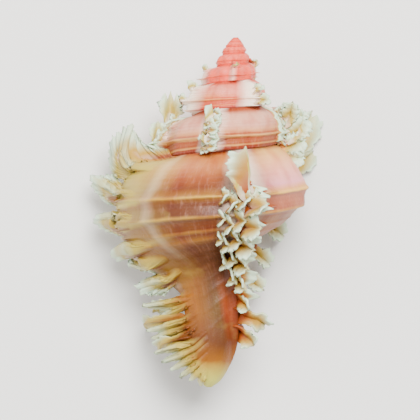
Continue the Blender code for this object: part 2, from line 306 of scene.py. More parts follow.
def finishPiece(name, sheet, material, cutters=()):
    mesh = toMesh(name, sheet)
    if cutters:
        mesh = cutAway(mesh, cutters)
    whorlMarks(mesh)
    mesh.materials.append(material)
    mesh.shade_smooth()
    finished = bmesh.new()
    finished.from_mesh(mesh)
    print(name, "open edges", sum(not edge.is_manifold for edge in finished.edges))
    finished.free()
    piece = addObject(name, mesh)
    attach(piece, "root")
    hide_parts("murex_shell")
    print(name, len(mesh.polygons), "faces")


def cutAway(mesh, cutters):
    body = addObject("cutBody", mesh)
    helpers = [addObject("cutter", toMesh("cutter", cutter)) for cutter in cutters]
    for helper in helpers:
        cut = body.modifiers.new("cut", "BOOLEAN")
        cut.operation = "DIFFERENCE"
        cut.solver = "EXACT"
        cut.object = helper
    graph = bpy.context.evaluated_depsgraph_get()
    result = bpy.data.meshes.new_from_object(body.evaluated_get(graph))
    for spare in [body] + helpers:
        bpy.data.objects.remove(spare, do_unlink=True)
    return result


# shell material
def hexColour(text):  # sRGB hex to linear
    parts = [int(text[i:i + 2], 16) / 255.0 for i in (1, 3, 5)]
    linear = [c / 12.92 if c <= 0.04045 else ((c + 0.055) / 1.055) ** 2.4 for c in parts]
    return (*linear, 1.0)


def addNode(tree, kind, settings=None, links=None, out=0):  # gives back the output that is asked for
    node = tree.nodes.new("ShaderNode" + kind)
    for name, value in (settings or {}).items():
        if isinstance(name, int) or name in node.inputs:
            node.inputs[name].default_value = value
        else:
            setattr(node, name, value)
    for name, source in (links or {}).items():
        tree.links.new(source, node.inputs[name])
    return node.outputs[out] if node.outputs else node


def setRamp(node, stops):
    ramp = node.color_ramp
    while len(ramp.elements) > 1:
        ramp.elements.remove(ramp.elements[-1])
    ramp.elements[0].position = stops[0][0]
    ramp.elements[0].color = hexColour(stops[0][1])
    for position, colour in stops[1:]:
        ramp.elements.new(position).color = hexColour(colour)


shellLooks = {
    # share of the whorl from 1.0 to 2.2 laid on 0 to 1: by the lip, in the middle, on the right flank, on the spire
    "byLip": ((0.0, "#B47A38"), (0.03, "#D0C05C"), (0.12, "#BEA63C"), (0.22, "#AE963A"), (0.29, "#A4862C"),
              (0.318, "#D2C04C"), (0.345, "#966C20"), (0.40, "#9C7E30"), (0.445, "#A2842E"), (0.464, "#CEB848"),
              (0.485, "#92661C"), (0.55, "#96701E"), (0.57, "#BEA038"), (0.60, "#84560E"), (0.70, "#845810"),
              (0.85, "#8A500C"), (1.0, "#844C0C")),
    "middle": ((0.0, "#8E2E08"), (0.03, "#B86C2A"), (0.10, "#B8703C"), (0.18, "#92481C"), (0.25, "#6E340F"),
               (0.305, "#8A5818"), (0.320, "#B88A28"), (0.335, "#84501A"), (0.36, "#602E10"), (0.44, "#5C2E10"),
               (0.462, "#B08028"), (0.478, "#703C10"), (0.54, "#6A3408"), (0.557, "#8E5C16"), (0.575, "#663008"),
               (0.612, "#8A5614"), (0.64, "#603008"), (0.70, "#5E300A"), (0.80, "#562E0A"), (0.95, "#56340C"),
               (1.0, "#5C3C0E")),
    "flank": ((0.0, "#9A4A18"), (0.03, "#E8B060"), (0.10, "#F0A878"), (0.18, "#EE9A88"), (0.26, "#E89197"),
              (0.30, "#D89048"), (0.320, "#E8B048"), (0.336, "#B86848"), (0.38, "#AC5C3C"), (0.44, "#A45630"),
              (0.462, "#C89038"), (0.48, "#A66028"), (0.54, "#986438"), (0.60, "#9C5A28"), (0.70, "#9A4C1C"),
              (0.85, "#8C4C1A"), (1.0, "#844414")),
    "spire": ((0.0, "#7A2204"), (0.035, "#A84E28"), (0.08, "#D6967A"), (0.20, "#D69880"), (0.27, "#CC8858"),
              (0.30, "#983E14"), (0.325, "#DCA860"), (0.35, "#8E3A10"), (0.38, "#A05028"), (0.405, "#903C12"),
              (0.425, "#CC8C44"), (0.44, "#842C06"), (0.485, "#661A02")),
}


shellWobble = {  # what the 5 mm noise moves: the place on the shell, and how much of it is added
    "band": ("place", 0.03), "heightHere": ("height", 3.0), "lineGrowth": ("growth", 0.02),
    "crestEdge": ("crest", 0.5), "tipPlace": ("tip", 0.36),
}
shellStreaks = {  # growth lines across the whorl, about 0.6 mm apart, and broader bands
    "fineLines": ((150.0, 9.0, 1.0), {"Detail": 4.0, "Roughness": 0.65}),
    "broadBands": ((26.0, 4.0, 1.0), {"Detail": 2.0}),
}
shellFactors = {  # place on the shell, from, to, least and most where they are not 0 and 1
    "middle": ("growth", 0.10, 0.21), "flank": ("growth", 0.34, 0.42),
    "spire": ("growth", 0.90, 1.04), "early": ("growth", 1.55, 2.9, 0.0, 0.85),
    "beside": ("growth", 0.24, 0.28), "before": ("growth", 0.37, 0.34),
    "below": ("height", 50.0, 58.0, 0.0, 0.75),
    "lineIn": ("lineGrowth", 0.150, 0.168), "lineOut": ("lineGrowth", 0.192, 0.172),
    "lineShare": ("share", 1.9, 1.6, 0.0, 0.26),
    "streak": ("fineLines", 0.5, 0.8, 0.0, 0.22), "broad": ("broadBands", 0.45, 0.72, 0.0, 0.55),
    "pinker": ("growth", 0.05, 0.22, 0.3, 1.0), "calm": ("share", 2.1, 1.6, 0.35, 1.0),
    "canalBrown": ("heightHere", 62.0, 68.0, 0.0, 0.8), "canalOrange": ("heightHere", 68.5, 74.0, 0.0, 0.9),
    "canalPale": ("heightHere", 72.5, 77.4),
    "crestPart": ("crestEdge", 0.50, 1.10), "crestSpire": ("growth", 0.9, 1.1, 0.55, 0.85),
    "crestAbove": ("share", 2.0, 1.6),
    "foot": ("tipPlace", 0.22, 0.48), "white": ("tipPlace", 0.54, 0.98),
    # painted shade beside the ridges of the lip, carried as negative tip marks
    "shadeUnderRidge": ("tip", -0.02, -0.4, 0.0, 0.8),
}
shellLayers = (  # factors that are multiplied, the colour, and how it is laid on where it is not mixed
    (("early",), "#EE5038"),  # early whorls turn salmon pink
    (("beside", "before", "below"), "#92380E"),  # red brown hollow beside the middle varix
    (("lineIn", "lineOut", "lineShare"), "#E8D0A8"),  # where the last growth of the lip began
    (("streak", "pinker", "calm"), "#E8A890"),
    (("broad", "pinker"), "#D88C74", "MULTIPLY"),
    (("canalBrown",), "#56280A"),  # the canal turns brown, orange and pale yellow
    (("canalOrange",), "#9C5C04"),
    (("canalPale",), "#C4BE50"),
    (("crestPart", "crestSpire", "crestAbove"), "#FFF0D8"),  # cream and white crests of the varices
    (("foot",), "#B29A3E"),  # fronds: yellow tan at the foot
    (("white",), "#CCE0C0"),  # bluish white at the tips
    (("hollow",), "#9A4410"),  # orange red in the hollows, and painted shade on the web beside the first arm
    (("shadeUnderRidge",), "#864818"),  # painted shade, brown beside the ridges of the lip
)


def makeShellMaterial():
    # aragonite grown in thin layers: satin, warm, fine growth lines across the whorls, cords along them
    material = bpy.data.materials.new("grownSatinShell")
    material.use_nodes = True
    tree = material.node_tree
    tree.nodes.clear()
    places = {name: addNode(tree, "Attribute", {"attribute_name": name}, None, "Fac")
              for name in ("share", "growth", "crest", "tip", "hollow")}
    objectPlace = addNode(tree, "TexCoord", None, None, "Object")
    coilPlace = addNode(tree, "CombineXYZ", None, {"X": places["growth"], "Y": places["share"]})
    forward = addNode(tree, "SeparateXYZ", None, {0: objectPlace}, "Y")
    places["height"] = addNode(tree, "Math", {"operation": "MULTIPLY_ADD", 1: -1.0 / mm, 2: coil["apexForward"]},
                               {0: forward})
    places["place"] = addNode(tree, "MapRange",
                              {"From Min": 1.0, "From Max": 2.2, "To Min": -0.015, "To Max": 0.985},
                              {"Value": places["share"]})
    drift = addNode(tree, "TexNoise", {"Scale": 180.0, "Detail": 3.0}, {"Vector": objectPlace})
    for name, (source, amount) in shellWobble.items():
        places[name] = addNode(tree, "Math", {"operation": "MULTIPLY_ADD", 1: amount},
                               {0: drift, 2: places[source]})
    for name, (stretch, settings) in shellStreaks.items():
        stretched = addNode(tree, "VectorMath", {"operation": "MULTIPLY", 1: stretch}, {0: coilPlace})
        places[name] = addNode(tree, "TexNoise", dict(settings, Scale=1.0), {"Vector": stretched})
    factors = {"hollow": places["hollow"]}
    for name, (source, low, high, *limits) in shellFactors.items():
        least, most = limits or (0.0, 1.0)
        ends = {"From Min": low, "From Max": high, "To Min": least, "To Max": most}
        factors[name] = addNode(tree, "MapRange", ends, {"Value": places[source]})
    body = None
    for name, stops in shellLooks.items():
        ramp = addNode(tree, "ValToRGB", None, {"Fac": places["band"]})
        setRamp(ramp.node, stops)
        body = ramp if body is None else addNode(tree, "Mix", {"data_type": "RGBA"},
                                                 {0: factors[name], 6: body, 7: ramp}, 2)
    for names, colour, *blend in shellLayers:
        factor = factors[names[0]]
        for name in names[1:]:
            factor = addNode(tree, "Math", {"operation": "MULTIPLY"}, {0: factor, 1: factors[name]})
        settings = {"data_type": "RGBA", "blend_type": blend[0] if blend else "MIX", 7: hexColour(colour)}
        body = addNode(tree, "Mix", settings, {0: factor, 6: body}, 2)

    grain = addNode(tree, "TexNoise", {"Scale": 2600.0, "Detail": 4.0}, {"Vector": objectPlace})  # about 0.4 mm
    relief = addNode(tree, "Math", {"operation": "MULTIPLY_ADD", 1: 0.7}, {0: places["fineLines"], 2: grain})
    bump = addNode(tree, "Bump", {"Strength": 0.35, "Distance": 0.00025}, {"Height": relief})
    rough = addNode(tree, "MapRange", {"To Min": 0.34, "To Max": 0.55}, {"Value": drift})
    shader = addNode(tree, "BsdfPrincipled",
                     {"IOR": 1.53, "Specular IOR Level": 0.3, "Subsurface Weight": 0.08, "Subsurface Scale": 0.002,
                      "Subsurface Radius": (1.0, 0.5, 0.3)},
                     {"Base Color": body, "Roughness": rough, "Normal": bump})
    addNode(tree, "OutputMaterial", None, {"Surface": shader})
    return material


shellMaterial = makeShellMaterial()
print("material done")


# whorl wall
def rowHeights(growth, bandColumns, baseColumns):
    edges = [heightAt(growth, 1.0 + (coil["growthPerWhorl"] - 1.0) * i / bandColumns)
             for i in range(bandColumns + 1)]
    low = edges[-1]
    for i in range(1, baseColumns + 1):
        part = i / baseColumns
        edges.append(low + (coil["length"] - low) * (0.62 * part + 0.38 * part ** 1.6))
    return edges


def shapeBand(spots, firstGrowth, lastGrowth, columns):
    for vert, u, v in spots:  # u runs across the whorl, v back along the coil
        growth = firstGrowth + (lastGrowth - firstGrowth) * v
        column = round(u * columns)
        height = heightAt(growth, 1.0 + (coil["growthPerWhorl"] - 1.0) * column / columns)
        if column == columns and growth >= 359.999:
            vert.co = wallPoint(growth - 360.0, heightAt(growth - 360.0, 1.0))
        else:
            vert.co = wallPoint(growth, height)


def buildWall():
    step = wall["growthStep"]
    band, base = wall["bandColumns"], wall["baseColumns"]
    turn = round(360.0 / step)
    lastRow = round(coil["whorls"] * turn)
    shell = bmesh.new()
    sheet, spots = gridMesh(band, lastRow - turn)
    shapeBand(spots, 360.0, lastRow * step, band)
    addSheet(shell, sheet)
    sheet, spots = gridMesh(band + base, turn - 1)
    heights = [rowHeights(row * step, band, base) for row in range(turn)]
    for vert, u, v in spots:
        row = round(v * (turn - 1))
        column = round(u * (band + base))
        vert.co = wallPoint(row * step, heights[row][column])
    addSheet(shell, sheet)
    bmesh.ops.remove_doubles(shell, verts=shell.verts, dist=0.002 * mm)
    # the face between the end of the last whorl and the one before it
    openEdges = [edge for edge in shell.edges if edge.is_boundary]
    ends = []
    for edge in openEdges:
        middle = (edge.verts[0].co + edge.verts[1].co) / 2
        if coil["apexForward"] - middle.y / mm > heightAt(360.0, 1.0) - 0.3:
            ends.append(edge)
    print("open edges", len(openEdges), "at the lip", len(ends))
    bmesh.ops.bridge_loops(shell, edges=ends)
    closeUp(shell)
    print("wall open edges left", sum(edge.is_boundary for edge in shell.edges), "faces", len(shell.faces))
    return shell


mouth = {
    "centre": (1.42, 0.43),  # share of the whorl height and of the scale
    "halfHeight": 0.30, "halfWidth": 0.225, "depth": 150.0,
    "slitWidth": 1.1, "slitAzimuth": -168.0,
}


def buildMouth():  # horn-shaped hollow that follows the last half whorl, its rim finely scalloped
    around, along = 72, 44
    horn, spots = gridMesh(around, along)
    for vert, u, v in spots:
        growth = -60.0 + (mouth["depth"] + 60.0) * v
        scale = scaleAt(max(growth, -20.0))
        deep = max(growth - mouth["depth"] + 30.0, 0.0) / 30.0
        size = math.sqrt(max(1.0 - deep * deep, 0.0001))
        outside = max(-growth - 10.0, 0.0) / 50.0
        turn = 2.0 * math.pi * u
        scallop = 1.0 + 0.022 * math.cos(18.0 * turn) * between(growth, ((-30, 1), (12, 0)))
        height = heightAt(0.0, 0.0) + scale * mouth["centre"][0]
        height += scale * mouth["halfHeight"] * size * scallop * math.sin(turn)
        radius = scale * mouth["centre"][1] * (1.0 + 0.35 * outside)
        radius += scale * mouth["halfWidth"] * size * scallop * math.cos(turn)
        vert.co = place(radius, coil["lipAzimuth"] + growth, height)
    return closeUp(horn)


def buildSlit():  # the open canal is a narrow slot under the tube
    slot, spots = gridMesh(4, 30)
    for vert, u, v in spots:
        height = 46.0 + 33.0 * v
        tube = smooth(height, wall["canalRadii"])
        azimuth = mouth["slitAzimuth"] + 0.25 * twistAt(height)
        corner = round(u * 4) % 4
        radius = tube + 7.0 if corner in (1, 2) else 0.45 * tube
        turn = math.degrees(0.5 * mouth["slitWidth"] / radius) * (-1.0 if corner in (0, 1) else 1.0)
        vert.co = place(radius, azimuth + turn, height)
    return closeUp(slot)


finishPiece("whorlWall", buildWall(), shellMaterial, (buildMouth(), buildSlit()))

# fronds
frond = {
    "thickness": 0.40,  # mm at the edge
    "rowLength": 0.34,  # mm between rows
    "columnWidth": 0.22,
    "onWall": 0.05, "bury": 0.30,  # mm over the wall, and how far its start is sunk
    "teeth": 4.0, "tooth": 0.22, "upTeeth": 3.0, "upTooth": 0.34, "sweep": 0.05,
    "fineTeeth": 2.6, "fine": 0.35,  # smaller teeth on the teeth
    "digits": 3.0, "notch": 0.12, "skew": 0.0,  # lobes at the end
    "pleats": 2.0, "pleatDepth": 0.08,  # folds that run out from the foot
    "flute": 0.25, "curl": 0.22, "spine": 0.8,
    "palmAt": 0.55, "webWidth": 5.4, "ridgeWidth": 1.6, "tipWidth": 0.40,
    "roll": 0.0, "bend": 0.30, "sag": 0.5, "start": 34.0,
    "hollow": 0.5, "white": 1.0, "inner": -0.15,
}


def saw(phase):  # rounded teeth, 0 in a notch and 1 on a point
    part = phase - math.floor(phase)
    return (1.0 - abs(2.0 * part - 1.0)) ** 0.8


def distances(points):  # how far along the line each point lies
    marks = [0.0]
    for low, high in zip(points, points[1:]):
        marks.append(marks[-1] + (high - low).length)
    return marks


def curveThrough(points):  # a soft line through points, by its share of the length
    length = distances(points)[-1]
    marks = [mark / length for mark in distances(points)]
    knots = [tuple((mark, point[axis]) for mark, point in zip(marks, points)) for axis in range(3)]
    return marks, lambda s: Vector([smooth(s, knots[axis]) for axis in range(3)])


def frondSheet(target, points, lipAt, back, neck, palm, look, seed):
    marks, path = curveThrough(points)
    lip = marks[lipAt]
    rows = max(10, int(distances(points)[-1] / frond["rowLength"]))
    columns = max(8, int(max(palm, neck * 1.3) / frond["columnWidth"]))
    sheet, spots = gridMesh(columns, rows)
    tipMark = sheet.verts.layers.float["tip"]
    free = 1.0 - lip
    widths = ((0.0, look["ridgeWidth"]), (0.45 * lip, 0.5 * (look["ridgeWidth"] + look["webWidth"])),
              (0.85 * lip, look["webWidth"]), (lip + 0.18 * free, neck),
              (lip + look["palmAt"] * free, palm), (lip + 0.86 * free, palm * 0.8), (1.0, palm * look["tipWidth"]))
    roll = math.radians(look["roll"])
    for vert, u, v in spots:
        t = 2.0 * u - 1.0
        edge = abs(t)
        lobes = saw(look["digits"] * u + 0.5 * (look["digits"] % 2.0) + 0.5)
        end = 1.0 - free * (0.12 * edge ** 1.6 + look["skew"] * (1.0 - t) * 0.5
                            + look["notch"] * (1.0 - lobes) * (1.0 - 0.4 * edge))
        s = v * end
        out = (s - lip) / free  # 0 at the lip, 1 at the tip
        fade = between(out, ((-0.05, 0), (0.30, 1)))
        teeth, tooth = (look["upTeeth"], look["upTooth"]) if t > 0.0 else (look["teeth"], look["tooth"])
        side = seed + (0.43 if t > 0.0 else 0.0)
        ribs = saw(teeth * out + side)
        fineRibs = saw(teeth * look["fineTeeth"] * out + 1.7 * side)
        cut = (1.0 - look["fine"]) * ribs + look["fine"] * fineRibs
        half = 0.5 * smooth(s, widths) * (1.0 + fade * tooth * (cut - 0.45) * 2.0 * edge ** 2)
        s = min(s + free * fade * look["sweep"] * cut * edge ** 2, 1.0)
        centre = path(s)
        along = (path(min(s + 0.02, 1.0)) - path(max(s - 0.02, 0.0))).normalized()
        radial = Vector((centre.x - coil["axisRight"], 0.0, centre.z - coil["axisHeight"])).normalized()
        rise = radial.lerp(back, between(out, ((-0.35, 0), (0.35, 1))))
        rise = (rise - along * rise.dot(along)).normalized()
        across = along.cross(rise)
        turned = roll * fade
        rise, across = (rise * math.cos(turned) + across * math.sin(turned),
                        across * math.cos(turned) - rise * math.sin(turned))
        lift = look["flute"] * fade * (ribs - 0.5) * edge ** 0.8
        spine = look["spine"] * (1.0 - 0.5 * max(out, 0.0)) * math.exp(-(t / 0.30) ** 2)
        lift += spine * between(s, ((0, 0), (0.5 * lip, 1)))
        lift += look["pleatDepth"] * half * fade * math.cos(math.pi * look["pleats"] * t)
        lift -= look["curl"] * half * t * t * (1.0 + 0.3 * s) * fade
        lift += 0.18 * fade * noise.noise(Vector((centre.x * 0.9 + seed, t * 3.0, s * 7.0)))
        lift -= 1.1 * between(out, ((-0.3, 1), (0.12, 0))) * t * t
        vert.co = (centre + across * half * t + rise * lift) * mm
        vert[tipMark] = look["white"] * (0.55 * between(out, ((0.05, 0), (1, 1))) + 0.45 * fade * edge ** 1.7)
    thicken(sheet, frond["thickness"] * mm)
    markHollow(sheet, lambda face: (look["hollow"] * (face.normal.dot(back) < look["inner"]), 1.35))
    addSheet(target, sheet)


def frondRow(target, varix, rows, **shared):
    for number, (rootHeight, tipHeight, reach, azimuth, neck, palm, *more) in enumerate(rows):
        look = dict(frond, **shared)
        look.update(*more)
        share = shareAt(varix, rootHeight)
        crestAzimuth = azimuthAt(varix, rootHeight)
        crestRadius = wallRadius(varix, rootHeight)
        points = []
        for part in (1.0, 0.75, 0.5, 0.25):
            growth = varix + look["start"] * part
            height = heightAt(growth, share)
            radius = wallRadius(growth, height) + frond["onWall"] - frond["bury"] * (part > 0.9)
            points.append(place(radius, azimuthAt(growth, height), height) / mm)
        swing = (azimuth - crestAzimuth + 180.0) % 360.0 - 180.0
        points.append(place(crestRadius + 0.15 + look["bend"] * 0.3 * max(reach - crestRadius, 0.0),
                            crestAzimuth + swing * 0.12, rootHeight + 0.06 * (tipHeight - rootHeight)) / mm)
        points.append(place(crestRadius + (0.5 + 0.4 * look["bend"]) * max(reach - crestRadius, 0.0),
                            crestAzimuth + swing * 0.55, rootHeight + look["sag"] * (tipHeight - rootHeight)) / mm)
        points.append(place(reach, azimuth, tipHeight) / mm)
        angle = math.radians(crestAzimuth + 0.5 * swing)
        back = Vector((math.cos(angle), 0.0, -math.sin(angle)))
        frondSheet(target, points, 4, back, neck, palm, look, number * 0.37)


frill = {
    "thickness": 0.50,  # mm
    "columnWidth": 0.24,  # mm along the varix
    "rows": 11,
    "bury": 0.35,  # mm that its foot is in the wall
}


def frillStrip(target, varix, offset, heights, tall, lobes, back=0.75, wave=1.3, swing=0.22, seed=0.0,
               hollow=0.85, white=1.0, low=0.32):
    first, last = heights  # one scalloped growth edge along a varix, leaning back over the crest
    columns = max(12, int((last - first) / frill["columnWidth"]))
    sheet, spots = gridMesh(columns, frill["rows"])
    tipMark = sheet.verts.layers.float["tip"]
    size = scaleAt(varix) / coil["lipScale"]
    for vert, u, v in spots:
        height = first + (last - first) * u
        ends = between(u, ((0, 0.15), (0.05, 1), (0.95, 1), (1, 0.15)))
        slow = noise.noise(Vector((height * 0.35, seed * 3.1, offset)))
        quick = noise.noise(Vector((height * 1.1, seed * 5.3, offset * 0.7)))
        lobe = 0.0
        for middle, width, more in lobes:
            off = (height - middle) / width
            if abs(off) < 1.0:
                lobe = max(lobe, more * (1.0 - off * off) ** 0.8)
        beads = saw(height / wave + seed)
        stand = (tall * (low + 0.30 * quick + 0.14 * beads) + 0.75 * tall * lobe) * ends
        growth = varix - offset + 1.6 * slow
        radius = wallRadius(growth, height)
        degree = math.degrees(1.0 / max(radius, 2.0))
        sway = swing * size * v * (beads - 0.5 + 1.4 * quick)
        sway += back * v ** 1.3 * stand * (0.35 + 0.65 * min(lobe, 1.0))
        lift = stand * (v - 0.2 * v * v)
        vert.co = place(radius - frill["bury"] + lift, azimuthAt(growth, height) + sway * degree,
                        height + 0.2 * size * v * slow)
        vert[tipMark] = white * between(v, ((0.35, 0), (0.65, 0.5), (0.9, 1)))
    thicken(sheet, frill["thickness"] * size ** 0.5 * mm)
    markHollow(sheet, lambda face: (hollow, 1.5))
    addSheet(target, sheet)


# the lip's edge from the spire down to the neck: reach, azimuth, height, growth and share where it leaves the
# whorl, growth and share where it starts on it
lipEdge = (
    (13, -90, 24.9, 48, 1.012, 54, 1.012),
    (15.7, -93, 24.8, 40, 1.012, 46, 1.012),
    (17.5, -95, 25.5, 34, 1.014, 42, 1.012),
    (19.2, -97, 24.4, 28, 1.020, 40, 1.020),
    (20.2, -98, 23.6, 22, 1.030, 44, 1.030),
    (22.2, -100, 21.4, 18, 1.089, 56, 1.147),  # first arm
    (26.3, -103, 24.5, 16, 1.104, 58, 1.182),
    (26.8, -106, 28.5, 15, 1.127, 58, 1.207),
    (26.4, -108, 31.1, 14, 1.148, 58, 1.231),
    (22.4, -106, 32.6, 14, 1.171, 58, 1.255),  # notch
    (23.1, -106, 34.2, 14, 1.202, 58, 1.279),
    (25.7, -107, 32.2, 15, 1.233, 58, 1.303),
    (30.7, -108, 33.2, 16, 1.273, 58, 1.343),  # second arm
    (30.2, -108, 35.6, 16, 1.312, 58, 1.374),
    (27.7, -108, 38.3, 16, 1.350, 58, 1.414),
    (23.2, -105, 39.3, 14, 1.378, 58, 1.454),  # notch
    (25, -107, 40.7, 15, 1.410, 58, 1.486),
    (29, -108, 41.7, 16, 1.449, 58, 1.510),  # third arm
    (29.2, -108, 43, 16, 1.494, 58, 1.549),
    (27.6, -108, 44.4, 16, 1.539, 58, 1.581),
    (24.8, -108, 45.1, 15, 1.574, 58, 1.612),
    (21.2, -105, 46, 14, 1.608, 58, 1.643),  # notch
    (23.5, -107, 48.1, 15, 1.639, 57, 1.672),
    (25, -109, 49.5, 16, 1.679, 56, 1.701),  # fourth arm
    (23.5, -109, 51, 15, 1.713, 55, 1.730),
    (19.4, -107, 49.8, 14, 1.739, 54, 1.759),  # notch
    (20.9, -112, 51.4, 14, 1.774, 52, 1.785),  # fifth arm
    (17.2, -110, 52.7, 13, 1.805, 50, 1.810),
    (12.6, -100, 53.1, 12, 1.826, 46, 1.828),  # notch
    (16, -103, 54.2, 12, 1.846, 44, 1.836),
    (17.6, -103, 56.3, 12, 1.858, 42, 1.852),  # sixth arm
    (16.2, -103, 57.7, 12, 1.872, 40, 1.868),
    (11.3, -100, 57.3, 12, 1.885, 38, 1.885),
    (9.4, -92, 54.6, 12, 1.899, 36, 1.910),
)
flange = {
    "thickness": 0.32,  # mm
    "columnWidth": 0.18,  # mm along the edge
    "rows": 44,
    "tooth": 2.1, "toothEvery": 1.7,  # mm
    "pleat": 0.12, "pleatEvery": 1.25,
    "ridge": 2.1, "ridgeHalf": 1.7,
    "edge": lipEdge,
    "arms": (5, 12, 17, 23, 26, 30),  # which of them are the tips
    "lean": 1.0,  # how far the first arm bends
    "rise": 0.4,  # where along it the ridges are full
    "pale": 1.0, "uneven": 0.35,
}

canalEdge = (  # the same from the neck to the end of the canal, without the growth where it leaves
    (6.4, -90, 55.9, 1.914, 40, 1.947),
    (9.1, -93, 58.5, 1.969, 48, 2.003),
    (15.9, -97, 60.4, 2.017, 54, 2.054),  # first group
    (10.8, -100, 61.1, 2.044, 52, 2.078),
    (12.3, -106, 62.7, 2.071, 48, 2.103),
    (6.3, -92, 60.7, 2.085, 44, 2.115),
    (5.6, -91, 62.2, 2.106, 46, 2.136),
    (8.7, -93, 63.6, 2.126, 52, 2.157),
    (14.7, -94, 65.6, 2.161, 62, 2.199),  # second group
    (9.9, -98, 65.9, 2.185, 58, 2.217),
    (13.8, -103, 67.3, 2.209, 54, 2.242),
    (9.1, -104, 67.1, 2.229, 50, 2.267),
    (11.7, -108, 68.8, 2.253, 46, 2.284),
    (5.5, -90, 65.3, 2.262, 50, 2.295),
    (4.8, -88, 67, 2.284, 54, 2.310),
    (7.8, -86, 68.8, 2.301, 64, 2.337),
    (12.6, -84, 70.3, 2.332, 92, 2.380),  # third group
    (8, -86, 70.1, 2.356, 94, 2.410),
    (10.6, -90, 72.3, 2.380, 94, 2.445),
    (6.5, -90, 71.6, 2.401, 90, 2.477),
    (8.7, -92, 74, 2.425, 84, 2.506),
    (4.7, -84, 72.7, 2.456, 76, 2.535),
    (6.5, -80, 75.3, 2.480, 68, 2.556),
    (3.9, -74, 73.8, 2.504, 54, 2.575),
    (4.4, -70, 76, 2.531, 50, 2.598),
    (3, -64, 74.5, 2.555, 46, 2.610),
    (2.2, -56, 76.7, 2.575, 42, 2.620),
    (1.8, -30, 75.6, 2.595, 38, 2.630),
)
canalComb = dict(flange, thickness=0.36, columnWidth=0.20, tooth=0.8, toothEvery=1.3, pleat=0.0, ridge=1.1,
                 ridgeHalf=3.2, lean=0.0, pale=0.75, rise=0.68, uneven=0.0,
                 arms=(2, 4, 8, 10, 12, 16, 18, 20, 22, 24, 26),
                 edge=[row[:3] + (12.0,) + row[3:] for row in canalEdge])


